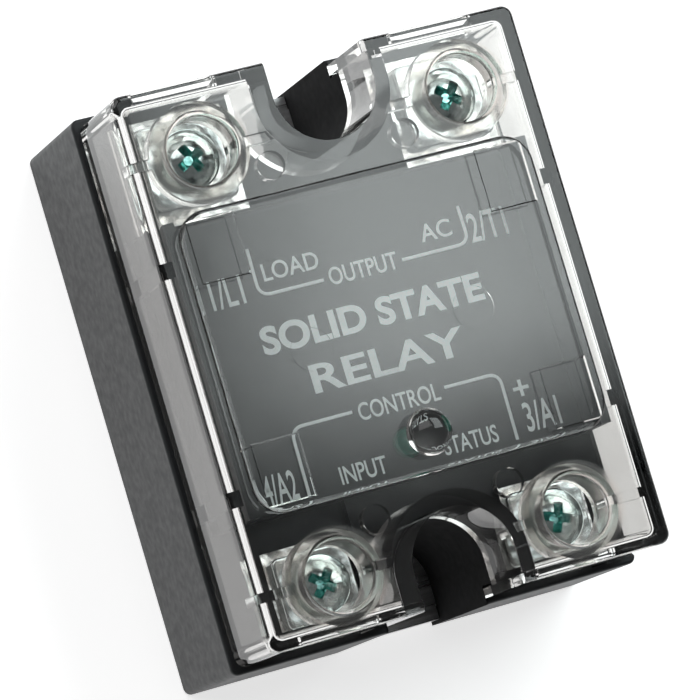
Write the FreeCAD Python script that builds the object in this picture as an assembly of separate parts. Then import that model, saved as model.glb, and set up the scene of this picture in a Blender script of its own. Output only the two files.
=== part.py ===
"""Panel-mount solid state relay: metal base plate, moulded housing, power stage, control board,
four screw terminals and a clear clip-on cover.

Frame: X across the relay, Y along it (output terminals at +Y), Z up out of the mounting face.
The origin is the middle of the mounting face. All lengths are in millimetres.
"""

import os
import math

import FreeCAD
import Part

V = FreeCAD.Vector

# ---------------------------------------------------------------- driving dimensions
WIDTH = 44.5                # housing across X
LENGTH = 57.2               # housing along Y
LEDGE_Z = 17.3              # shoulder of the housing that the cover stands over
SURROUND_Z = 29.2           # top of the cover round the terminals
PLATEAU_Z = 29.8            # top of the cover's raised middle panel
PRINT_Z = 22.5              # printed top face of the housing
SEAT_Z = 20.0               # housing floor beside the notches and under the output terminals
INPUT_FLOOR_Z = 19.0        # housing floor under the input terminals
RIM_Z = 27.2                # rims on both sides of the printed face
RIM_X = 18.4                # inner face of each rim

PLATE_T = 3.2               # base plate thickness
PLATE_PROUD = 0.3           # how far the base plate stands below the housing
SKIRT = 1.75                # housing wall round the base plate
FIXING_Y = 23.8             # fixing hole and fixing slot, from the middle
FIXING_R = 2.4              # radius of the fixing hole, half width of the fixing slot

NOTCH_R = 5.4               # half width of the screw notch at each end
NOTCH_Y = 24.2              # centre of the notch's round end
NOTCH_WALL = 1.8            # wall round the notch in housing and cover

COVER_INSET = 0.65          # cover's outer face behind the housing's
COVER_WALL = 1.0
COVER_TOP = 1.6
COVER_CORNER_R = 1.0        # inside the upright corners
COVER_ROOF_R = 0.8          # inside, where the walls meet the top
COVER_GAP = 0.1             # under the cover's skirt
COVER_FIT = 0.3             # beside the housing's upper block
PLATEAU_X = 18.9            # half width of the raised panel
PLATEAU_Y = 15.2            # half length of the raised panel
PLATEAU_R = 3.0
PLATEAU_EDGE_R = 0.45
ACCESS_R = 3.45             # screwdriver hole over each screw
ACCESS_RIM_R = 0.5
RIB_T = 1.0
GUIDE_W = 1.6               # guide ribs inside the cover's long walls
GUIDE_D = 0.8
GUIDE_YS = (10.4, -12.6)
FIELD_X = (12.9, 18.0)      # sunk fields on the raised panel, from the middle
FIELD_Y = (8.0, 14.4)
FIELD_DEPTH = 0.16
EJECTOR_X, EJECTOR_Y = 8.7, -0.5
EJECTOR_R = 2.15
EJECTOR_DEPTH = 0.15
PEG_X, PEG_Y = 7.2, 18.0    # small pegs under the cover, beside the notches
PEG_R = 1.45

PITCH = 25.4 / 32.0         # thread pitch of all four terminal screws

HALF_W = WIDTH / 2
HALF_L = LENGTH / 2
COVER_X = HALF_W - COVER_INSET
COVER_Y = HALF_L - COVER_INSET
INNER_X = COVER_X - COVER_WALL
INNER_Y = COVER_Y - COVER_WALL
BLOCK_X = INNER_X - COVER_FIT
BLOCK_Y = INNER_Y - COVER_FIT
COVER_Z = LEDGE_Z + COVER_GAP
CEILING_Z = SURROUND_Z - COVER_TOP

# Terminals. side is -1 at the left and +1 at the right.
OUTPUT = {
    "x": 13.95, "y": 20.9, "floor": SEAT_Z, "plate_t": 1.8, "clamp_t": 1.3,
    "plate": (8.6, 19.4, 15.2, 26.0), "clamp": (4.5, 4.3), "shank_r": 2.08, "core_r": 1.66,
    "head_r": 3.1, "head_h": 2.5, "shank_len": 8.8, "collar_z": 25.8, "collar_r": 5.1,
    "entry": (9.2, 18.6, 24.2),
}
INPUT = {
    "x": 12.75, "y": -22.4, "floor": INPUT_FLOOR_Z, "plate_t": 1.6, "clamp_t": 1.1,
    "plate": (8.4, 17.4, -26.0, -18.0), "clamp": (4.1, 3.6), "shank_r": 1.74, "core_r": 1.36,
    "head_r": 3.05, "head_h": 2.2, "shank_len": 7.6, "collar_z": 24.6, "collar_r": 4.7,
    "entry": (8.3, 17.3, 22.8),
}
THREAD_GAP = 0.1            # between a screw and the tapped hole round it
SHANK_GAP = 0.2             # between a screw and its clamp plate
HEAD_DOME = 0.8             # how far the middle of a screw head stands above its rim
HEAD_EDGE_R = 0.35
RECESS_REACH = 1.7          # arm of the cross recess, from its middle
RECESS_W = 0.95
RECESS_DEPTH = 1.3
RECESS_ANGLE = {            # how far each screw happens to be turned, in degrees
    "output_left": 28.0, "output_right": -38.0, "input_left": 52.0, "input_right": 70.0,
}

# Power stage, upwards from the base plate
COPPER_T = 0.3
CERAMIC_T = 0.63
DIE_T = 0.4
CERAMIC_X, CERAMIC_Y = 16.5, 12.0
DIE_X, DIE_Y, DIE_HALF = 7.4, 1.5, 3.6
LEG_X0, LEG_X1 = 9.5, 14.0
LEG_T = 1.2
INPUT_LEG_X0, INPUT_LEG_X1 = 10.0, 13.5
INPUT_LEG_T = 0.8

# Control board
BOARD_Z = 13.0
BOARD_T = 1.6
BOARD_X, BOARD_Y = 17.0, 14.9
LED_Y = -11.3
LED_R = 1.5
LED_TOP_Z = 24.3
DOME_R = 2.4
DOME_SINK = 0.4

# Cavity inside the housing
CAVITY_X = 19.8
CAVITY_Y = 26.0
LOW_ROOF_Z = 8.5            # under the screw bosses
MID_ROOF_Z = 15.8           # beside the printed block
MID_Y = 16.9
BLOCK_TOP_X, BLOCK_TOP_Y = 18.9, 14.9
ROOF_T = 1.3
PIN_R = 0.4
PIN_POINTS = ((-8.0, -9.0), (-3.0, -9.0), (3.0, -9.0), (8.0, -9.0))


# ---------------------------------------------------------------- shape helpers
def box(x0, x1, y0, y1, z0, z1):
    """Box between two corners, given in either order along each axis."""
    xs, ys, zs = sorted((x0, x1)), sorted((y0, y1)), sorted((z0, z1))
    corner = V(xs[0], ys[0], zs[0])
    return Part.makeBox(xs[1] - xs[0], ys[1] - ys[0], zs[1] - zs[0], corner)


def cylinder(radius, z0, z1, x=0.0, y=0.0):
    return Part.makeCylinder(radius, z1 - z0, V(x, y, z0))


def rounded_box(half_x, half_y, z0, z1, radius):
    """Upright box about the Z axis with rounded vertical edges."""
    block = box(-half_x, half_x, -half_y, half_y, z0, z1)
    upright = [e for e in block.Edges if abs(e.tangentAt(e.FirstParameter).z) > 0.9]
    return block.makeFillet(radius, upright)


def fuse(shapes):
    """One solid from several that touch or overlap."""
    whole = shapes[0]
    for shape in shapes[1:]:
        whole = whole.fuse(shape)
    return whole.removeSplitter()


def notch(half_width, z0, z1, end):
    """U-shaped prism, open at the +Y end (end = 1) or at the -Y end (end = -1)."""
    round_end = cylinder(half_width, z0, z1, 0, end * NOTCH_Y)
    channel = box(-half_width, half_width, end * NOTCH_Y, end * (HALF_L + 5), z0, z1)
    return round_end.fuse(channel)


def edges_at(shape, test):
    """Edges whose two ends and middle all pass a test on a point."""
    found = []
    for edge in shape.Edges:
        points = [vertex.Point for vertex in edge.Vertexes] + [edge.CenterOfMass]
        if all(test(point) for point in points):
            found.append(edge)
    return found


def terminals():
    """(name, terminal sizes, side) of the four terminals."""
    for kind, sizes in (("output", OUTPUT), ("input", INPUT)):
        for label, side in (("left", -1), ("right", 1)):
            yield kind + "_" + label, sizes, side


# ---------------------------------------------------------------- base plate
def base_plate():
    """Flat plate with a fixing hole at -Y, a fixing slot at +Y and a tongue in each notch."""
    half_x = HALF_W - SKIRT - 0.05
    half_y = HALF_L - SKIRT - 0.05
    plate = rounded_box(half_x, half_y, 0, PLATE_T, 0.8)
    for end in (-1, 1):
        tongue_x = NOTCH_R - 0.1
        plate = plate.fuse(box(-tongue_x, tongue_x, 0, end * (HALF_L - 0.4), 0, PLATE_T))
    plate = plate.removeSplitter()
    hole = cylinder(FIXING_R, -1, PLATE_T + 1, 0, -FIXING_Y)
    slot = cylinder(FIXING_R, -1, PLATE_T + 1, 0, FIXING_Y)
    slot = slot.fuse(box(-FIXING_R, FIXING_R, FIXING_Y, HALF_L + 2, -1, PLATE_T + 1))
    return plate.cut(hole).cut(slot)


# ---------------------------------------------------------------- housing
def cavity():
    """Space inside the housing, open at the bottom and closed by the base plate."""
    low = box(-CAVITY_X, CAVITY_X, -CAVITY_Y, CAVITY_Y, PLATE_T, LOW_ROOF_Z)
    for end in (-1, 1):
        low = low.cut(notch(NOTCH_R + NOTCH_WALL, PLATE_T - 1, LOW_ROOF_Z + 1, end))
    middle = box(-CAVITY_X, CAVITY_X, -MID_Y, MID_Y, PLATE_T, MID_ROOF_Z)
    top_x, top_y = BLOCK_TOP_X - 2.6, BLOCK_TOP_Y - 1.4
    top = box(-top_x, top_x, -top_y, top_y, PLATE_T, PRINT_Z - ROOF_T)
    shapes = [low, middle, top]
    for side in (-1, 1):
        lead_y = INPUT["plate"][3] - 1.1
        x0, x1 = side * (LEG_X0 - 0.4), side * (LEG_X1 + 0.4)
        shapes.append(box(x0, x1, lead_y, 0, PLATE_T, MID_ROOF_Z))
    return fuse(shapes)


def housing(leads):
    """Moulded body: skirt round the plate, screw bosses, ledge, terminal floors, printed block."""
    body = rounded_box(HALF_W, HALF_L, PLATE_PROUD, LEDGE_Z, 0.8)
    body = body.makeFillet(0.35, edges_at(body, lambda p: p.z > LEDGE_Z - 0.01))
    seat = rounded_box(BLOCK_X, BLOCK_Y, LEDGE_Z - 1, SEAT_Z, 0.8)
    block = rounded_box(BLOCK_TOP_X, BLOCK_TOP_Y, SEAT_Z - 2, PRINT_Z, 1.2)
    block = block.makeFillet(0.5, edges_at(block, lambda p: p.z > PRINT_Z - 0.01))
    rim_outer = INNER_X - GUIDE_D - COVER_FIT
    body = fuse([body, seat, block])
    for side in (-1, 1):
        rim = box(side * RIM_X, side * rim_outer, -BLOCK_TOP_Y, BLOCK_TOP_Y, SEAT_Z - 1, RIM_Z)
        body = body.fuse(rim)
    body = body.removeSplitter()

    for end in (-1, 1):
        body = body.cut(notch(NOTCH_R, -1, RIM_Z + 1, end))
    body = body.cut(cavity())
    body = body.cut(box(-HALF_W + SKIRT, HALF_W - SKIRT, -HALF_L + SKIRT, HALF_L - SKIRT, 0, PLATE_T))

    for side in (-1, 1):
        wall_x = side * (NOTCH_R + NOTCH_WALL)
        outer_x = side * (BLOCK_X + 1)
        body = body.cut(box(wall_x, outer_x, -BLOCK_TOP_Y, -BLOCK_Y - 1, INPUT_FLOOR_Z, SEAT_Z + 1))
        flange_x = OUTPUT["plate"][1] - LEG_T - 0.05
        flange_y = OUTPUT["plate"][2] - 0.1
        body = body.cut(box(side * flange_x, outer_x, flange_y, BLOCK_Y + 1, LEDGE_Z, SEAT_Z))
        for y in GUIDE_YS:
            half = GUIDE_W / 2 + 0.2
            groove_x = side * (INNER_X - GUIDE_D - 0.2)
            body = body.cut(box(groove_x, outer_x, y - half, y + half, LEDGE_Z, SEAT_Z + 1))

    for _, sizes, side in terminals():
        depth = sizes["floor"] - sizes["shank_len"] - 0.6
        pocket = cylinder(sizes["shank_r"] + 0.75, depth, sizes["floor"], side * sizes["x"], sizes["y"])
        body = body.cut(pocket)
    body = body.cut(cylinder(LED_R + 0.1, PRINT_Z - ROOF_T - 1, PRINT_Z + 1, 0, LED_Y))
    for lead in leads:
        body = body.cut(lead)
    return body


# ---------------------------------------------------------------- terminals
def output_terminal(side):
    """Tapped plate with an outer flange, and a leg down to the power stage."""
    x0, x1, y0, y1 = OUTPUT["plate"]
    top = OUTPUT["floor"] + OUTPUT["plate_t"]
    plate = box(side * x0, side * x1, y0, y1, OUTPUT["floor"], top)
    flange = box(side * (x1 - LEG_T), side * x1, y0, y1, LEDGE_Z + 0.2, top)
    leg_foot_z = PLATE_T + 2 * COPPER_T + CERAMIC_T
    leg = box(side * LEG_X0, side * LEG_X1, y0, y0 + LEG_T, leg_foot_z, top)
    foot = box(side * LEG_X0, side * LEG_X1, CERAMIC_Y - 3.2, y0 + LEG_T, leg_foot_z, leg_foot_z + LEG_T)
    shape = fuse([plate, flange, leg, foot])
    corners = edges_at(shape, lambda p: abs(p.x) > x1 - 0.01 and p.z > top - 0.01)
    shape = shape.makeFillet(0.5, corners)
    tapped = OUTPUT["shank_r"] + THREAD_GAP
    return shape.cut(cylinder(tapped, 10, top + 1, side * OUTPUT["x"], OUTPUT["y"]))


def input_terminal(side):
    """Tapped plate with a leg down to a foot on the control board."""
    x0, x1, y0, y1 = INPUT["plate"]
    top = INPUT["floor"] + INPUT["plate_t"]
    board_top = BOARD_Z + BOARD_T
    plate = box(side * x0, side * x1, y0, y1, INPUT["floor"], top)
    leg_y = y1 - INPUT_LEG_T
    leg = box(side * INPUT_LEG_X0, side * INPUT_LEG_X1, leg_y, y1, board_top, top)
    foot_top = board_top + INPUT_LEG_T
    foot = box(side * INPUT_LEG_X0, side * INPUT_LEG_X1, leg_y, -BOARD_Y + 2.0, board_top, foot_top)
    shape = fuse([plate, leg, foot])
    tapped = INPUT["shank_r"] + THREAD_GAP
    return shape.cut(cylinder(tapped, 10, top + 1, side * INPUT["x"], INPUT["y"]))


def lead_slots():
    """Slots through the housing's floors that the terminal legs pass down."""
    gap = 0.1
    output_y = OUTPUT["plate"][2]
    input_y = INPUT["plate"][3]
    legs = (
        (LEG_X0, LEG_X1, output_y, output_y + LEG_T, OUTPUT["floor"]),
        (INPUT_LEG_X0, INPUT_LEG_X1, input_y - INPUT_LEG_T, input_y, INPUT["floor"]),
    )
    slots = []
    for side in (-1, 1):
        for x0, x1, y0, y1, top in legs:
            slot = box(side * (x0 - gap), side * (x1 + gap), y0 - gap, y1 + gap, MID_ROOF_Z - 1, top)
            slots.append(slot)
    return slots


def clamp_plate(sizes, side):
    """Square pressure plate under the screw head, with turned-down edges and wire grooves."""
    half_x, half_y = sizes["clamp"]
    z0 = sizes["floor"] + sizes["plate_t"]
    z1 = z0 + sizes["clamp_t"]
    x, y = side * sizes["x"], sizes["y"]
    plate = box(x - half_x, x + half_x, y - half_y, y + half_y, z0, z1)
    upright = [e for e in plate.Edges if abs(e.tangentAt(e.FirstParameter).z) > 0.9]
    plate = plate.makeFillet(0.7, upright)
    plate = plate.makeFillet(0.3, edges_at(plate, lambda p: p.z > z1 - 0.01))
    for offset in (-0.62, 0.62):
        groove_x = x + offset * half_x
        groove = Part.makeCylinder(0.35, 2 * half_y + 2, V(groove_x, y - half_y - 1, z0), V(0, 1, 0))
        plate = plate.cut(groove)
    return plate.cut(cylinder(sizes["shank_r"] + SHANK_GAP, z0 - 1, z1 + 1, x, y))


def screw_recess(top_z):
    """Cross recess about the Z axis, narrowing downwards."""
    z0 = top_z - RECESS_DEPTH
    half = RECESS_W / 2
    arm_x = box(-RECESS_REACH, RECESS_REACH, -half, half, z0, top_z + 1)
    arm_y = box(-half, half, -RECESS_REACH, RECESS_REACH, z0, top_z + 1)
    taper = Part.makeCone(half, RECESS_REACH + 0.3, RECESS_DEPTH + 0.2, V(0, 0, z0))
    return arm_x.fuse(arm_y).common(taper)


def thread_points(core, major, z0, z1):
    """Profile of thread rings between two heights, from the core out to the crests and back."""
    points = [V(core, 0, z0)]
    z = z0 + 0.3
    while z + PITCH < z1:
        points.append(V(core, 0, z))
        points.append(V(major, 0, z + 0.4 * PITCH))
        points.append(V(major, 0, z + 0.6 * PITCH))
        z += PITCH
    points.append(V(core, 0, z))
    return points


def terminal_screw(sizes, side, angle):
    """Screw with a domed head and a cross recess. Rings at the true pitch stand for the thread."""
    seat_z = sizes["floor"] + sizes["plate_t"] + sizes["clamp_t"]
    top_z = seat_z + sizes["head_h"]
    rim_z = top_z - HEAD_DOME
    tip_z = seat_z - sizes["shank_len"]
    core, head = sizes["core_r"], sizes["head_r"]
    points = [V(0, 0, tip_z)]
    points += thread_points(core, sizes["shank_r"], tip_z, seat_z - 1.6)
    points += [V(core, 0, seat_z), V(head, 0, seat_z), V(head, 0, rim_z)]
    edges = [Part.LineSegment(a, b).toShape() for a, b in zip(points, points[1:])]
    dome_r = (head ** 2 + HEAD_DOME ** 2) / (2 * HEAD_DOME)
    half_turn = math.asin(head / dome_r) / 2
    middle = V(dome_r * math.sin(half_turn), 0, top_z - dome_r * (1 - math.cos(half_turn)))
    edges.append(Part.Arc(points[-1], middle, V(0, 0, top_z)).toShape())
    edges.append(Part.LineSegment(V(0, 0, top_z), points[0]).toShape())
    screw = Part.Face(Part.Wire(edges)).revolve(V(0, 0, 0), V(0, 0, 1), 360)
    screw = screw.makeFillet(HEAD_EDGE_R, edges_at(screw, lambda p: abs(p.z - rim_z) < 0.01))
    screw = screw.cut(screw_recess(top_z))
    screw.rotate(V(0, 0, 0), V(0, 0, 1), angle)
    screw.translate(V(side * sizes["x"], sizes["y"], 0))
    return screw


# ---------------------------------------------------------------- power stage
def copper_pads():
    """Top copper of the substrate: two output pads, and a small pad under each board pin."""
    z0 = PLATE_T + COPPER_T + CERAMIC_T
    pads = []
    for side in (-1, 1):
        pads.append(box(side * 0.6, side * (CERAMIC_X - 1.2), -5.5, CERAMIC_Y - 1.0, z0, z0 + COPPER_T))
    for x, y in PIN_POINTS:
        pads.append(box(x - 1.3, x + 1.3, y - 1.5, y + 1.5, z0, z0 + COPPER_T))
    return Part.makeCompound(pads)


def thyristor_dies():
    z0 = PLATE_T + 2 * COPPER_T + CERAMIC_T
    dies = []
    for side in (-1, 1):
        x = side * DIE_X
        dies.append(box(x - DIE_HALF, x + DIE_HALF, DIE_Y - DIE_HALF, DIE_Y + DIE_HALF, z0, z0 + DIE_T))
    return Part.makeCompound(dies)


def die_straps():
    """Two copper straps, each from the top of one die across to the other output pad."""
    pad_z = PLATE_T + 2 * COPPER_T + CERAMIC_T
    die_z = pad_z + DIE_T
    straps = []
    for side in (-1, 1):
        y0 = DIE_Y + 0.4 if side > 0 else DIE_Y - 2.8
        y1 = y0 + 2.4
        over = box(side * (DIE_X + 2.4), -side * 2.6, y0, y1, die_z, die_z + 0.5)
        down = box(-side * 1.4, -side * 2.6, y0, y1, pad_z, die_z + 0.5)
        straps.append(fuse([over, down]))
    return Part.makeCompound(straps)


def board_pins():
    z0 = PLATE_T + 2 * COPPER_T + CERAMIC_T
    z1 = BOARD_Z + BOARD_T + 0.8
    return Part.makeCompound([cylinder(PIN_R, z0, z1, x, y) for x, y in PIN_POINTS])


def potting_compound(embedded):
    """Potting that fills the housing up to the underside of the control board."""
    fill = cavity().common(box(-HALF_W, HALF_W, -HALF_L, HALF_L, PLATE_T, BOARD_Z))
    for shape in embedded:
        fill = fill.cut(shape)
    return fill


# ---------------------------------------------------------------- control board
def control_board(pins):
    board = box(-BOARD_X, BOARD_X, -BOARD_Y, BOARD_Y, BOARD_Z, BOARD_Z + BOARD_T)
    for x in (-1.27, 1.27):
        board = board.cut(cylinder(0.45, BOARD_Z - 1, BOARD_Z + BOARD_T + 1, x, LED_Y))
    return board.cut(pins)


def optocoupler():
    """Six-legged driver body with its legs bent onto the board."""
    z0 = BOARD_Z + BOARD_T
    body = box(-4.4, 4.4, -3.2, 3.2, z0 + 0.6, z0 + 4.0)
    body = body.makeChamfer(0.4, edges_at(body, lambda p: p.z > z0 + 3.99))
    shapes = [body]
    for x in (-2.54, 0.0, 2.54):
        for side in (-1, 1):
            leg = box(x - 0.5, x + 0.5, side * 3.2, side * 3.9, z0, z0 + 2.4)
            shapes.append(leg)
    package = fuse(shapes)
    package.translate(V(-9.0, 4.5, 0))
    return package


def snubber_capacitor():
    z0 = BOARD_Z + BOARD_T
    body = box(2.0, 14.8, 5.6, 10.8, z0, z0 + 6.2)
    return body.makeFillet(0.6, edges_at(body, lambda p: p.z > z0 + 6.19))


def varistor():
    """Coated disc that stands on edge across the board."""
    z0 = BOARD_Z + BOARD_T
    radius = 3.1
    disc = Part.makeCylinder(radius, 3.0, V(8.5, 0.0, z0 + radius - 0.1), V(0, 1, 0))
    disc = disc.makeFillet(0.8, disc.Edges)
    return disc.common(box(0, 16, -1, 4, z0, z0 + 10))


def chip_resistors():
    z0 = BOARD_Z + BOARD_T
    chips = []
    for x, y in ((-13.5, -4.0), (-13.5, -7.0), (-9.5, -4.0), (13.0, -4.5)):
        chips.append(box(x - 1.6, x + 1.6, y - 0.8, y + 0.8, z0, z0 + 0.6))
    return Part.makeCompound(chips)


def regulator():
    """Small transistor of the input's constant-current stage."""
    z0 = BOARD_Z + BOARD_T
    body = box(-2.3, 2.3, -1.3, 1.3, z0 + 0.1, z0 + 1.6)
    tab = box(-0.9, 0.9, 1.3, 2.3, z0, z0 + 0.5)
    legs = [box(x - 0.25, x + 0.25, -2.3, -1.3, z0, z0 + 0.5) for x in (-1.5, 0.0, 1.5)]
    part = fuse([body, tab] + legs)
    part.translate(V(3.0, -5.2, 0))
    return part


def status_led():
    """Round LED that looks out of the printed face under the cover's dome."""
    base_z = LED_TOP_Z - LED_R - 3.4
    body = cylinder(LED_R, base_z, LED_TOP_Z - LED_R, 0, LED_Y)
    tip = Part.makeSphere(LED_R, V(0, LED_Y, LED_TOP_Z - LED_R))
    flange = cylinder(LED_R + 0.4, base_z - 1.0, base_z, 0, LED_Y)
    return fuse([body, tip, flange])


def led_leads():
    top = LED_TOP_Z - LED_R - 4.4
    wires = [box(x - 0.25, x + 0.25, LED_Y - 0.25, LED_Y + 0.25, BOARD_Z + 0.2, top) for x in (-1.27, 1.27)]
    return Part.makeCompound(wires)


# ---------------------------------------------------------------- cover
def cover_ribs():
    """Solid features that stay inside the cover: notch walls, collars, ribs and pegs."""
    top = CEILING_Z + 0.5
    shapes = [notch(NOTCH_R + NOTCH_WALL, SEAT_Z + 0.05, top, end) for end in (-1, 1)]
    for _, sizes, side in terminals():
        x, y = side * sizes["x"], sizes["y"]
        half = RIB_T / 2
        shapes.append(cylinder(sizes["collar_r"], sizes["collar_z"], top, x, y))
        shapes.append(box(side * NOTCH_R, side * COVER_X, y - half, y + half, sizes["collar_z"] + 0.4, top))
        shapes.append(cylinder(PEG_R, CEILING_Z - 1.2, top, side * PEG_X, math.copysign(PEG_Y, y)))
    for side in (-1, 1):
        for y in GUIDE_YS:
            half = GUIDE_W / 2
            x0, x1 = side * (INNER_X - GUIDE_D), side * COVER_X
            shapes.append(box(x0, x1, y - half, y + half, COVER_Z + 0.6, top))
    return shapes


def wire_entry(sizes, side):
    """Arched opening through the end wall, in front of one terminal."""
    x0, x1, top = sizes["entry"]
    wall_y = math.copysign(INNER_Y - 0.3, sizes["y"])
    outer_y = math.copysign(COVER_Y + 1, sizes["y"])
    entry = box(side * x0, side * x1, wall_y, outer_y, COVER_Z - 1, top)
    along_y = edges_at(entry, lambda p: p.z > top - 0.01)
    along_y = [e for e in along_y if abs(e.tangentAt(e.FirstParameter).y) > 0.9]
    return entry.makeFillet(1.2, along_y)


def sunk_field(side, end):
    """Shallow field with sloped sides at one corner of the raised panel."""
    field = box(side * FIELD_X[0], side * FIELD_X[1], end * FIELD_Y[0], end * FIELD_Y[1],
                PLATEAU_Z - FIELD_DEPTH, PLATEAU_Z + 1)
    lower = edges_at(field, lambda p: p.z < PLATEAU_Z)
    return field.makeChamfer(FIELD_DEPTH - 0.01, lower)


def led_lens():
    """Small dome over the status LED."""
    dome = Part.makeSphere(DOME_R, V(0, LED_Y, PLATEAU_Z - DOME_SINK))
    return dome.common(box(-4, 4, LED_Y - 4, LED_Y + 4, PLATEAU_Z - 0.8, PLATEAU_Z + 4))


def cover():
    """Clear cover: shell, raised panel, notch walls, collars, ribs, wire entries, LED dome."""
    shell = rounded_box(COVER_X, COVER_Y, COVER_Z, SURROUND_Z, 1.1)
    shell = shell.makeFillet(0.6, edges_at(shell, lambda p: p.z > SURROUND_Z - 0.01))
    panel = rounded_box(PLATEAU_X, PLATEAU_Y, CEILING_Z, PLATEAU_Z, PLATEAU_R)
    panel = panel.makeFillet(PLATEAU_EDGE_R, edges_at(panel, lambda p: p.z > PLATEAU_Z - 0.01))
    shell = fuse([shell, panel])
    inside = rounded_box(INNER_X, INNER_Y, COVER_Z - 1, CEILING_Z, COVER_CORNER_R)
    inside = inside.makeFillet(COVER_ROOF_R, edges_at(inside, lambda p: p.z > CEILING_Z - 0.01))
    for shape in cover_ribs():
        inside = inside.cut(shape)
    body = shell.cut(inside)

    for end in (-1, 1):
        body = body.cut(notch(NOTCH_R, COVER_Z - 1, PLATEAU_Z + 1, end))
    for _, sizes, side in terminals():
        body = body.cut(cylinder(ACCESS_R, COVER_Z, PLATEAU_Z + 1, side * sizes["x"], sizes["y"]))
        body = body.cut(wire_entry(sizes, side))
    for side in (-1, 1):
        mark = cylinder(EJECTOR_R, CEILING_Z - 1, CEILING_Z + EJECTOR_DEPTH, side * EJECTOR_X, EJECTOR_Y)
        body = body.cut(mark)
        for end in (-1, 1):
            body = body.cut(sunk_field(side, end))
    rims = edges_at(body, lambda p: p.z > SURROUND_Z - 0.01 and is_access_rim(p))
    body = body.makeFillet(ACCESS_RIM_R, rims)
    return fuse([body, led_lens()])


def is_access_rim(point):
    """True on the circle where an access hole opens on the cover's top."""
    for _, sizes, side in terminals():
        reach = math.hypot(point.x - side * sizes["x"], point.y - sizes["y"])
        if reach < ACCESS_R + 0.01:
            return True
    return False


# ---------------------------------------------------------------- assembly
def build():
    pins = board_pins()
    pads = copper_pads()
    dies = thyristor_dies()
    straps = die_straps()
    bottom_copper = box(-CERAMIC_X + 0.8, CERAMIC_X - 0.8, -CERAMIC_Y + 0.8, CERAMIC_Y - 0.8,
                        PLATE_T, PLATE_T + COPPER_T)
    ceramic_z = PLATE_T + COPPER_T
    ceramic = box(-CERAMIC_X, CERAMIC_X, -CERAMIC_Y, CERAMIC_Y, ceramic_z, ceramic_z + CERAMIC_T)
    outputs = {side: output_terminal(side) for side in (-1, 1)}
    inputs = {side: input_terminal(side) for side in (-1, 1)}
    embedded = [bottom_copper, ceramic, pads, dies, straps, pins, outputs[-1], outputs[1]]

    nodes = {
        "base_plate": base_plate(),
        "housing": housing(lead_slots()),
        "cover": cover(),
        "substrate_copper_bottom": bottom_copper,
        "substrate_ceramic": ceramic,
        "substrate_copper_top": pads,
        "thyristor_dies": dies,
        "die_straps": straps,
        "board_pins": pins,
        "potting_compound": potting_compound(embedded),
        "control_board": control_board(pins),
        "optocoupler": optocoupler(),
        "snubber_capacitor": snubber_capacitor(),
        "varistor": varistor(),
        "chip_resistors": chip_resistors(),
        "current_regulator": regulator(),
        "status_led": status_led(),
        "led_leads": led_leads(),
        "output_terminal_left": outputs[-1],
        "output_terminal_right": outputs[1],
        "input_terminal_left": inputs[-1],
        "input_terminal_right": inputs[1],
    }
    for name, sizes, side in terminals():
        nodes["clamp_plate_" + name] = clamp_plate(sizes, side)
        nodes["terminal_screw_" + name] = terminal_screw(sizes, side, RECESS_ANGLE[name])
    return nodes


def main():
    os.makedirs("parts", exist_ok=True)
    for name, shape in build().items():
        solids = shape.Solids
        state = "ok" if shape.isValid() else "NOT VALID"
        print(f"{name:32s} solids {len(solids)}  volume {shape.Volume:10.2f} mm3  {state}")
        shape.exportStep(os.path.join("parts", name + ".step"))


main()
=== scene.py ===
import math

import bpy
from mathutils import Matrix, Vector


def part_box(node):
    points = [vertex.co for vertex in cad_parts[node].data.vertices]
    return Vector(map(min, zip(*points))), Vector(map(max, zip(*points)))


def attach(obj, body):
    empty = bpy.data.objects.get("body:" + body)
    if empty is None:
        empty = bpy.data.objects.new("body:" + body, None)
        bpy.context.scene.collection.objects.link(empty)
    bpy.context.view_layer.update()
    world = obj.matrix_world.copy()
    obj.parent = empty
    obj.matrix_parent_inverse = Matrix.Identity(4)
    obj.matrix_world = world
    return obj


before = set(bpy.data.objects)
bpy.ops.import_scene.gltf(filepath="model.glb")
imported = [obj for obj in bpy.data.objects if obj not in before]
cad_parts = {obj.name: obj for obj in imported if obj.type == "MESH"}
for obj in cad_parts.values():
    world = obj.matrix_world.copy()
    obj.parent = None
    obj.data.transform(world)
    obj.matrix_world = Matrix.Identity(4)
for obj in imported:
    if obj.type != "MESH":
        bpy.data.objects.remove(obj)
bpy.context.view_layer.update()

MM = 0.001

# ---------------------------------------------------------------- places on the relay
LAMP_RISE = 1.8 * MM        # the status lamp's tip above the printed face
NOTCH_INSET = 4.4 * MM      # from the housing's end to the centre of the notch's round end
NOTCH_R = 5.4 * MM
COLLAR_R = 5.1 * MM         # outside of the collar round each screw
HEAD_DOME_R = 6.4 * MM      # radius of the domed top of a screw head
RECESS_REACH = 1.7 * MM     # from the screw's axis to the end of one arm of its recess
RECESS_DEPTH = 1.3 * MM

TERMINALS = ("output_left", "output_right", "input_left", "input_right")
SCREW_BOX = {name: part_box("terminal_screw_" + name) for name in TERMINALS}
PRINT_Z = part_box("status_led")[1].z - LAMP_RISE
NOTCH_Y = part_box("housing")[1].y - NOTCH_INSET

# ---------------------------------------------------------------- camera and light
CAMERA_PLACE = Vector((-160.1, -42.1, 451.5)) * MM
CAMERA_TURN = (10.84, -17.814, -17.38)    # degrees about X, Y and Z
CAMERA_LENS = 239.33

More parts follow.
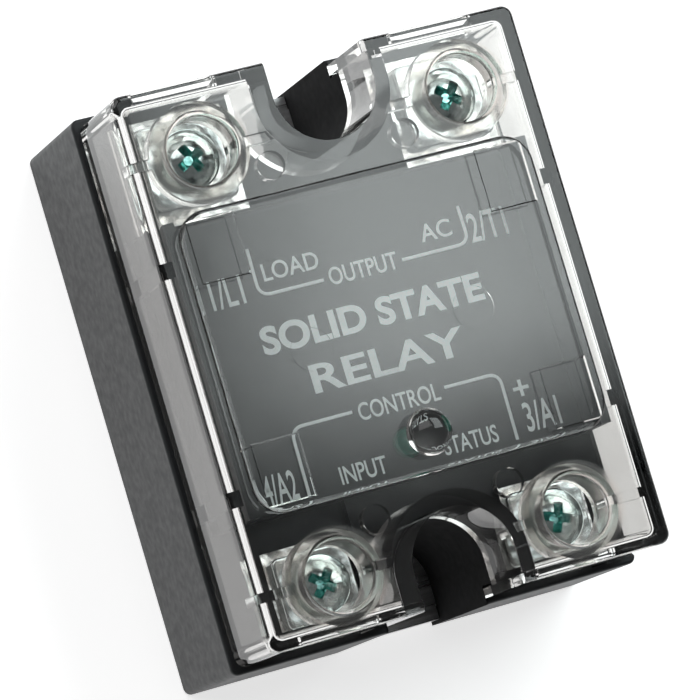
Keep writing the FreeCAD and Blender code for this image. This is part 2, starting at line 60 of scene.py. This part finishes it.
LIGHT_Z = 1.0
SOFTBOX_X = (0.258, 1.7)    # the cover's flat top mirrors the softbox's near left corner
SOFTBOX_Y = (0.03, 1.7)
SOFTBOX_FADE_X = 0.12       # how far the softbox fades in from its left edge
SOFTBOX_FADE_Y = 0.07       # and from its near edge
SOFTBOX_STRENGTH = 3.2
SOFTBOX_COLOUR = (0.93, 1.0, 1.0, 1.0)
FILL_X = (-1.6, 0.1)        # a second light, outside what the cover's top mirrors
FILL_Y = (0.35, 1.7)
FILL_STRENGTH = 1.8
WORLD_STRENGTH = 0.12
FLOOR_GLOW = 0.68
FLOOR_HALF = 2.5
FLOOR_DROP = 0.02 * MM      # the floor lies just under the base plate

# ---------------------------------------------------------------- printed legend, in millimetres
STROKE = 0.34
INK_RISE = 0.03
BRACKET_R = 1.3
BRACKET_STEPS = 8           # straight pieces in the bend of a bracket


class Label:
    """One printed word: its middle, its width and its cap height."""

    def __init__(self, words, x, y, width, height, weight=0.012):
        self.words = words
        self.x = x
        self.y = y
        self.width = width
        self.height = height
        self.weight = weight        # thickens the letters, as a part of their size


LABELS = (
    Label("LOAD", x=-6.6, y=8.5, width=6.0, height=1.8),
    Label("OUTPUT", x=0.7, y=6.5, width=7.4, height=1.8),
    Label("AC", x=9.2, y=8.4, width=3.4, height=1.8),
    Label("SOLID STATE", x=0.3, y=1.9, width=24.0, height=2.9, weight=0.035),
    Label("RELAY", x=0.5, y=-2.9, width=16.6, height=2.9, weight=0.02),
    Label("CONTROL", x=0.3, y=-7.2, width=8.8, height=1.8),
    Label("INPUT", x=-5.3, y=-12.8, width=5.0, height=1.8),
    Label("STATUS", x=6.4, y=-12.7, width=5.9, height=1.8),
)
NUMBERS = (
    Label("1/L1", x=-13.7, y=7.5, width=3.5, height=3.0),
    Label("2/T1", x=14.7, y=7.7, width=4.1, height=3.0),
    Label("3/A1", x=14.5, y=-12.0, width=3.8, height=3.0),
    Label("4/A2", x=-14.1, y=-12.35, width=3.5, height=3.0),
    Label("+", x=13.1, y=-9.0, width=1.7, height=1.7),
)
BRACKETS = (
    ((-10.4, 11.2), (-10.5, 6.35), (-3.6, 6.35)),
    ((4.9, 6.35), (12.3, 6.35), (12.2, 10.2)),
    ((-4.7, -7.0), (-11.3, -7.0), (-11.4, -14.0)),
    ((5.3, -7.0), (11.3, -7.0), (11.2, -13.9)),
)


# ---------------------------------------------------------------- node helpers
class Nodes:
    """A new material and short ways to add procedural detail to its Principled shader."""

    def __init__(self, name):
        self.material = bpy.data.materials.new(name)
        self.material.use_nodes = True
        self.tree = self.material.node_tree
        self.shader = self.tree.nodes["Principled BSDF"]
        self.place = self.tree.nodes.new("ShaderNodeTexCoord").outputs["Object"]

    def add(self, kind, **values):
        node = self.tree.nodes.new(kind)
        for key, value in values.items():
            setattr(node, key, value)
        return node

    def link(self, source, target):
        self.tree.links.new(source, target)

    def plain(self, **values):
        """Sets values on the shader's own sockets, such as Base_Color."""
        for key, value in values.items():
            if isinstance(value, tuple) and len(value) == 3:
                value = (*value, 1.0)
            self.shader.inputs[key.replace("_", " ")].default_value = value

    def stretched(self, stretch):
        mapping = self.add("ShaderNodeMapping")
        mapping.inputs["Scale"].default_value = stretch
        self.link(self.place, mapping.inputs["Vector"])
        return mapping.outputs["Vector"]

    def noise(self, size_mm, detail=3.0, stretch=(1.0, 1.0, 1.0)):
        """Noise with features of about this size."""
        node = self.add("ShaderNodeTexNoise")
        node.inputs["Scale"].default_value = 1.0 / (size_mm * MM)
        node.inputs["Detail"].default_value = detail
        self.link(self.stretched(stretch), node.inputs["Vector"])
        return node.outputs["Fac"]

    def ramp(self, source, low, high, start=0.3, end=0.7):
        """Colours or numbers from low to high as the source goes from start to end."""
        node = self.add("ShaderNodeValToRGB")
        ends = node.color_ramp.elements
        for element, place, value in zip(ends, (start, end), (low, high)):
            element.position = place
            element.color = (*value, 1.0) if isinstance(value, tuple) else (value, value, value, 1.0)
        self.link(source, node.inputs["Fac"])
        return node.outputs["Color"]

    def mix(self, factor, first, second):
        node = self.add("ShaderNodeMix", data_type="RGBA")
        self.link(factor, node.inputs["Factor"])
        self.link(first, node.inputs["A"])
        self.link(second, node.inputs["B"])
        return node.outputs["Result"]

    def colour(self, source):
        self.link(source, self.shader.inputs["Base Color"])

    def roughness(self, source, low, high):
        self.link(self.ramp(source, low, high), self.shader.inputs["Roughness"])

    def bump(self, source, height_mm, strength=1.0):
        node = self.add("ShaderNodeBump")
        node.inputs["Strength"].default_value = strength
        node.inputs["Distance"].default_value = height_mm * MM
        self.link(source, node.inputs["Height"])
        self.link(node.outputs["Normal"], self.shader.inputs["Normal"])

    def calc(self, kind, first, second):
        """One Math node. Each term is a socket or a number."""
        node = self.add("ShaderNodeMath", operation=kind)
        for slot, term in enumerate((first, second)):
            if isinstance(term, (int, float)):
                node.inputs[slot].default_value = term
            else:
                self.link(term, node.inputs[slot])
        return node.outputs["Value"]

    def axes(self, source=None):
        split = self.add("ShaderNodeSeparateXYZ")
        self.link(source or self.place, split.inputs["Vector"])
        return split.outputs["X"], split.outputs["Y"], split.outputs["Z"]

    def reach(self, x, y):
        """Length of a flat vector."""
        squares = self.calc("ADD", self.calc("MULTIPLY", x, x), self.calc("MULTIPLY", y, y))
        return self.calc("SQRT", squares, 0.0)

    def step(self, source, start, end):
        """0 where the source is at start and 1 where it is at end, with a straight run between."""
        node = self.add("ShaderNodeMapRange")
        node.inputs["From Min"].default_value = start
        node.inputs["From Max"].default_value = end
        self.link(source, node.inputs["Value"])
        return node.outputs["Result"]

    def from_point(self, middle):
        """Distance across the relay from an upright line."""
        x, y, _ = self.axes()
        return self.reach(self.calc("SUBTRACT", x, middle.x), self.calc("SUBTRACT", y, middle.y))

    def from_notch(self):
        """Distance from the middle line of the nearer screw notch."""
        x, y, _ = self.axes()
        past = self.calc("SUBTRACT", NOTCH_Y, self.calc("ABSOLUTE", y, 0.0))
        return self.reach(x, self.calc("MAXIMUM", past, 0.0))


# ---------------------------------------------------------------- materials
def moulded_plastic(name, dark, light, smooth, rough, grain_mm=0.12, grain_depth=0.006):
    m = Nodes(name)
    m.colour(m.ramp(m.noise(3.0), dark, light))
    m.roughness(m.noise(0.8, detail=5.0), smooth, rough)
    m.bump(m.noise(grain_mm), grain_depth)
    return m.material


def housing_plastic():
    """Black plastic with a fine moulded grain; inside the screw notches it is matt, and its colour
    there is much darker as painted shade.
    """
    m = Nodes("housing_plastic")
    m.plain(IOR=1.5, Specular_IOR_Level=0.42)
    in_notch = m.step(m.from_notch(), NOTCH_R + 0.3 * MM, NOTCH_R + 0.1 * MM)
    outside = m.ramp(m.noise(5.0, detail=6.0), (0.005, 0.0065, 0.008), (0.0095, 0.0115, 0.0135))
    # painted shade: inside the notches the plastic gets a near-black colour, standing for the shade
    # that falls in the notches
    inside = m.ramp(m.noise(5.0), (0.001, 0.001, 0.0015), (0.003, 0.003, 0.004))
    m.colour(m.mix(in_notch, outside, inside))
    grain = m.ramp(m.noise(0.9, detail=5.0), 0.42, 0.54)
    m.link(m.mix(in_notch, grain, m.ramp(m.noise(0.9), 0.9, 1.0)), m.shader.inputs["Roughness"])
    m.bump(m.noise(0.11), 0.004)
    return m.material


def clear_plastic():
    """Clear polycarbonate, darker on its upright side walls as painted shade for the darker
    surroundings seen through them, and a little frosted round the screws.
    """
    m = Nodes("clear_plastic")
    m.plain(Transmission_Weight=1.0, IOR=1.55)
    collars = 0.0
    for low, high in SCREW_BOX.values():
        collar = m.step(m.from_point((low + high) / 2), COLLAR_R, COLLAR_R - 0.3 * MM)
        collars = m.calc("MAXIMUM", collars, collar)
    facing = m.axes(m.add("ShaderNodeNewGeometry").outputs["Normal"])[2]
    wall = m.step(m.calc("ABSOLUTE", facing, 0.0), 0.6, 0.3)
    clear = m.ramp(m.noise(9.0), (0.94, 0.935, 0.925), (0.97, 0.965, 0.955))
    # painted shade: upright faces get the darker colour below, standing for the darker surroundings
    # seen through the walls
    painted_wall_shade = m.ramp(m.noise(9.0), (0.7, 0.68, 0.665), (0.77, 0.755, 0.74))
    warm = m.ramp(m.noise(9.0), (0.86, 0.8, 0.76), (0.91, 0.86, 0.82))
    m.colour(m.mix(collars, m.mix(wall, clear, painted_wall_shade), warm))
    polished = m.ramp(m.noise(0.5, detail=8.0, stretch=(1.0, 0.07, 1.0)), 0.012, 0.035)
    satin = m.ramp(m.noise(2.0), 0.13, 0.19)
    m.link(m.mix(collars, polished, satin), m.shader.inputs["Roughness"])
    m.bump(m.noise(7.0, detail=1.0), 0.02, strength=0.35)
    return m.material


def plated_metal(name, dark, light, smooth, rough, wave_mm=1.6, wave_depth=0.07):
    """Plated sheet: a slightly uneven, wavy surface with a mottled shine."""
    m = Nodes(name)
    m.plain(Metallic=1.0)
    m.colour(m.ramp(m.noise(1.8, detail=2.0), dark, light))
    m.roughness(m.noise(1.1, detail=3.0), smooth, rough)
    m.bump(m.noise(wave_mm, detail=1.5), wave_depth)
    return m.material


def milled_aluminium():
    """Aluminium plate with fine lines across it."""
    m = Nodes("milled_aluminium")
    m.plain(Metallic=1.0)
    lines = m.noise(0.3, detail=6.0, stretch=(0.03, 1.0, 1.0))
    m.colour(m.ramp(lines, (0.58, 0.585, 0.59), (0.78, 0.785, 0.79)))
    m.roughness(lines, 0.26, 0.42)
    m.bump(lines, 0.006)
    return m.material


def screw_metal(name, low, high):
    """Zinc plating whose blue-green passivation is strongest in the recess."""
    m = Nodes(name)
    m.plain(Metallic=1.0)
    bright = m.ramp(m.noise(1.4, detail=3.0), (0.5, 0.62, 0.6), (0.8, 0.87, 0.85))
    green = m.ramp(m.noise(0.6, detail=3.0), (0.16, 0.46, 0.42), (0.46, 0.8, 0.75))
    reach = m.from_point((low + high) / 2)
    sag = m.calc("DIVIDE", m.calc("MULTIPLY", reach, reach), 2 * HEAD_DOME_R)
    depth = m.calc("SUBTRACT", m.calc("SUBTRACT", high.z, sag), m.axes()[2])
    near = m.step(reach, RECESS_REACH + 0.3 * MM, RECESS_REACH + 0.1 * MM)
    above = m.step(depth, RECESS_DEPTH + 0.3 * MM, RECESS_DEPTH + 0.1 * MM)
    sunk = m.step(depth, 0.08 * MM, 0.25 * MM)
    m.colour(m.mix(m.calc("MULTIPLY", m.calc("MULTIPLY", near, above), sunk), bright, green))
    m.roughness(m.noise(1.0, detail=3.0), 0.1, 0.24)
    m.bump(m.noise(1.2, detail=2.0), 0.03)
    return m.material


def printed_ink():
    m = Nodes("printed_ink")
    m.colour(m.ramp(m.noise(0.5, detail=6.0), (0.82, 0.92, 0.92), (0.9, 0.97, 0.97)))
    m.roughness(m.noise(0.3), 0.45, 0.6)
    m.bump(m.noise(0.15), 0.004)
    return m.material


def lamp_lens():
    """Tinted green epoxy that glows faintly."""
    m = Nodes("lamp_lens")
    m.plain(Transmission_Weight=0.35, IOR=1.5, Emission_Color=(0.03, 0.3, 0.2), Emission_Strength=0.03)
    m.colour(m.ramp(m.noise(1.2), (0.01, 0.13, 0.09), (0.03, 0.22, 0.16)))
    m.roughness(m.noise(0.6), 0.08, 0.18)
    m.bump(m.noise(0.4), 0.002)
    return m.material


def solder_mask():
    """Green board with paler bands where the copper runs under the mask."""
    m = Nodes("solder_mask")
    bands = m.add("ShaderNodeTexWave", wave_type="BANDS")
    bands.inputs["Scale"].default_value = 180.0
    bands.inputs["Distortion"].default_value = 6.0
    m.link(m.place, bands.inputs["Vector"])
    m.colour(m.ramp(bands.outputs["Fac"], (0.01, 0.09, 0.04), (0.03, 0.2, 0.09), 0.45, 0.55))
    m.roughness(m.noise(0.4), 0.25, 0.4)
    m.bump(bands.outputs["Fac"], 0.02)
    return m.material


def floor_paper():
    """White paper, lit a little from below as on a light table."""
    m = Nodes("floor_paper")
    m.plain(Emission_Color=(1.0, 1.0, 1.0), Emission_Strength=FLOOR_GLOW)
    m.colour(m.ramp(m.noise(40.0), (0.87, 0.87, 0.87), (0.9, 0.9, 0.9)))
    m.roughness(m.noise(20.0), 0.7, 0.8)
    return m.material


def inner_parts():
    """Materials of the parts inside the housing, by node."""
    copper = plated_metal("bare_copper", (0.7, 0.3, 0.18), (0.86, 0.45, 0.3), 0.22, 0.4)
    epoxy = moulded_plastic("chip_epoxy", (0.012, 0.012, 0.013), (0.025, 0.025, 0.027), 0.4, 0.6)
    alumina = moulded_plastic("alumina", (0.72, 0.72, 0.68), (0.86, 0.86, 0.83), 0.5, 0.7)
    silicon = moulded_plastic("silicon", (0.03, 0.035, 0.045), (0.07, 0.075, 0.09), 0.1, 0.2)
    potting = moulded_plastic("potting", (0.01, 0.01, 0.011), (0.03, 0.03, 0.032), 0.2, 0.5)
    film_case = moulded_plastic("film_case", (0.55, 0.3, 0.04), (0.7, 0.42, 0.08), 0.3, 0.45)
    varistor = moulded_plastic("varistor_coat", (0.02, 0.07, 0.3), (0.05, 0.14, 0.42), 0.15, 0.3)
    return {
        "substrate_copper_bottom": copper,
        "substrate_copper_top": copper,
        "die_straps": copper,
        "substrate_ceramic": alumina,
        "thyristor_dies": silicon,
        "potting_compound": potting,
        "control_board": solder_mask(),
        "optocoupler": epoxy,
        "chip_resistors": epoxy,
        "current_regulator": epoxy,
        "snubber_capacitor": film_case,
        "varistor": varistor,
    }


def outer_parts():
    """Materials of the parts that show from outside, by node."""
    tin = plated_metal("tin_plate", (0.62, 0.625, 0.61), (0.86, 0.86, 0.845), 0.1, 0.26, 2.0, 0.11)
    zinc = plated_metal("clamp_zinc", (0.5, 0.55, 0.54), (0.78, 0.81, 0.8), 0.12, 0.28, 1.7, 0.08)
    looks = {
        "base_plate": milled_aluminium(),
        "housing": housing_plastic(),
        "cover": clear_plastic(),
        "status_led": lamp_lens(),
        "board_pins": tin,
        "led_leads": tin,
    }
    for name, (low, high) in SCREW_BOX.items():
        end, side = name.split("_")
        looks[f"{end}_terminal_{side}"] = tin
        looks["clamp_plate_" + name] = zinc
        looks["terminal_screw_" + name] = screw_metal("screw_zinc_" + name, low, high)
    return looks


def dress_frame():
    """Gives every CAD node its material."""
    looks = {**inner_parts(), **outer_parts()}
    for name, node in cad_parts.items():
        node.data.materials.clear()
        node.data.materials.append(looks[name])


# ---------------------------------------------------------------- printed pieces
def as_mesh(thing, name):
    """A mesh object made from a text or curve object, which is removed."""
    graph = bpy.context.evaluated_depsgraph_get()
    mesh = bpy.data.meshes.new_from_object(thing.evaluated_get(graph))
    bpy.data.objects.remove(thing)
    made = bpy.data.objects.new(name, mesh)
    bpy.context.scene.collection.objects.link(made)
    return made


def joined(name, things):
    """One mesh object from several."""
    with bpy.context.temp_override(active_object=things[0], selected_editable_objects=things):
        bpy.ops.object.join()
    things[0].name = name
    return things[0]


def printed_word(label):
    """A word as a thin mesh that fills its label's width and height."""
    curve = bpy.data.curves.new("word", "FONT")
    curve.body = label.words
    curve.extrude = 1.0
    curve.offset = label.weight
    curve.resolution_u = 8
    thing = bpy.data.objects.new("word", curve)
    bpy.context.scene.collection.objects.link(thing)
    word = as_mesh(thing, "word")
    xs = [v.co.x for v in word.data.vertices]
    ys = [v.co.y for v in word.data.vertices]
    wide, tall = max(xs) - min(xs), max(ys) - min(ys)
    for v in word.data.vertices:
        v.co.x = (label.x + ((v.co.x - min(xs)) / wide - 0.5) * label.width) * MM
        v.co.y = (label.y + ((v.co.y - min(ys)) / tall - 0.5) * label.height) * MM
        v.co.z = PRINT_Z + v.co.z * INK_RISE * MM
    return word


def printed_words(name, labels):
    return joined(name, [printed_word(label) for label in labels])


def rounded_path(corner_points):
    """Three corner points as a line with a round bend at the middle one."""
    first, corner, last = [Vector((x, y, 0.0)) for x, y in corner_points]
    into = (first - corner).normalized() * BRACKET_R
    away = (last - corner).normalized() * BRACKET_R
    points = [first]
    for i in range(BRACKET_STEPS + 1):
        t = i / BRACKET_STEPS
        points.append(corner + into * (1 - t) ** 2 + away * t ** 2)
    points.append(last)
    return points


def printed_brackets():
    strokes = []
    for corner_points in BRACKETS:
        curve = bpy.data.curves.new("bracket", "CURVE")
        curve.dimensions = "3D"
        curve.bevel_depth = STROKE / 2
        curve.bevel_resolution = 3
        curve.use_fill_caps = True
        points = rounded_path(corner_points)
        spline = curve.splines.new("POLY")
        spline.points.add(len(points) - 1)
        for target, point in zip(spline.points, points):
            target.co = (*point, 1.0)
        thing = bpy.data.objects.new("bracket", curve)
        bpy.context.scene.collection.objects.link(thing)
        stroke = as_mesh(thing, "bracket")
        for v in stroke.data.vertices:
            v.co = (v.co.x * MM, v.co.y * MM, PRINT_Z + v.co.z / (STROKE / 2) * INK_RISE * MM)
        strokes.append(stroke)
    return joined("legend_brackets", strokes)


def legend():
    ink = printed_ink()
    words = printed_words("legend_words", LABELS)
    numbers = printed_words("legend_numbers", NUMBERS)
    for piece in (words, numbers, printed_brackets()):
        piece.data.materials.clear()
        piece.data.materials.append(ink)
        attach(piece, "relay_body")


# ---------------------------------------------------------------- stage
def flat_sheet(name, xs, ys, z):
    mesh = bpy.data.meshes.new(name)
    corners = [(xs[0], ys[0], z), (xs[1], ys[0], z), (xs[1], ys[1], z), (xs[0], ys[1], z)]
    mesh.from_pydata(corners, [], [(0, 1, 2, 3)])
    sheet = bpy.data.objects.new(name, mesh)
    bpy.context.scene.collection.objects.link(sheet)
    return sheet


def light_sheet(name, xs, ys):
    """A flat light overhead. Returns its node tree and its Emission node."""
    sheet = flat_sheet(name, xs, ys, LIGHT_Z)
    material = bpy.data.materials.new(name + "_glow")
    material.use_nodes = True
    tree = material.node_tree
    tree.nodes.clear()
    glow = tree.nodes.new("ShaderNodeEmission")
    out = tree.nodes.new("ShaderNodeOutputMaterial")
    tree.links.new(glow.outputs["Emission"], out.inputs["Surface"])
    sheet.data.materials.append(material)
    return tree, glow


def softbox():
    """The main light, whose left and near edges fade in."""
    tree, glow = light_sheet("softbox", SOFTBOX_X, SOFTBOX_Y)
    glow.inputs["Color"].default_value = SOFTBOX_COLOUR
    place = tree.nodes.new("ShaderNodeTexCoord")
    split = tree.nodes.new("ShaderNodeSeparateXYZ")
    product = tree.nodes.new("ShaderNodeMath")
    product.operation = "MULTIPLY"
    tree.links.new(place.outputs["Object"], split.inputs["Vector"])
    edges = (
        ("X", SOFTBOX_X[0], SOFTBOX_FADE_X, 1.0),
        ("Y", SOFTBOX_Y[0], SOFTBOX_FADE_Y, SOFTBOX_STRENGTH),
    )
    for slot, (axis, start, width, top) in enumerate(edges):
        fade = tree.nodes.new("ShaderNodeMapRange")
        fade.interpolation_type = "SMOOTHSTEP"
        fade.inputs["From Min"].default_value = start
        fade.inputs["From Max"].default_value = start + width
        fade.inputs["To Max"].default_value = top
        tree.links.new(split.outputs[axis], fade.inputs["Value"])
        tree.links.new(fade.outputs["Result"], product.inputs[slot])
    tree.links.new(product.outputs["Value"], glow.inputs["Strength"])


def fill_light():
    _, glow = light_sheet("fill", FILL_X, FILL_Y)
    glow.inputs["Strength"].default_value = FILL_STRENGTH


def stage():
    span = (-FLOOR_HALF, FLOOR_HALF)
    floor = flat_sheet("floor", span, span, -FLOOR_DROP)
    floor.data.materials.append(floor_paper())
    softbox()
    fill_light()
    world = bpy.data.worlds.new("studio")
    world.use_nodes = True
    world.node_tree.nodes["Background"].inputs["Color"].default_value = (1.0, 1.0, 1.0, 1.0)
    world.node_tree.nodes["Background"].inputs["Strength"].default_value = WORLD_STRENGTH
    bpy.context.scene.world = world


def camera():
    data = bpy.data.cameras.new("camera")
    data.lens = CAMERA_LENS
    data.clip_start = 0.01
    data.clip_end = 20.0
    made = bpy.data.objects.new("camera", data)
    made.location = CAMERA_PLACE
    made.rotation_euler = [math.radians(turn) for turn in CAMERA_TURN]
    bpy.context.scene.collection.objects.link(made)
    bpy.context.scene.camera = made


dress_frame()
legend()
stage()
camera()
bpy.context.scene.view_settings.view_transform = "Standard"
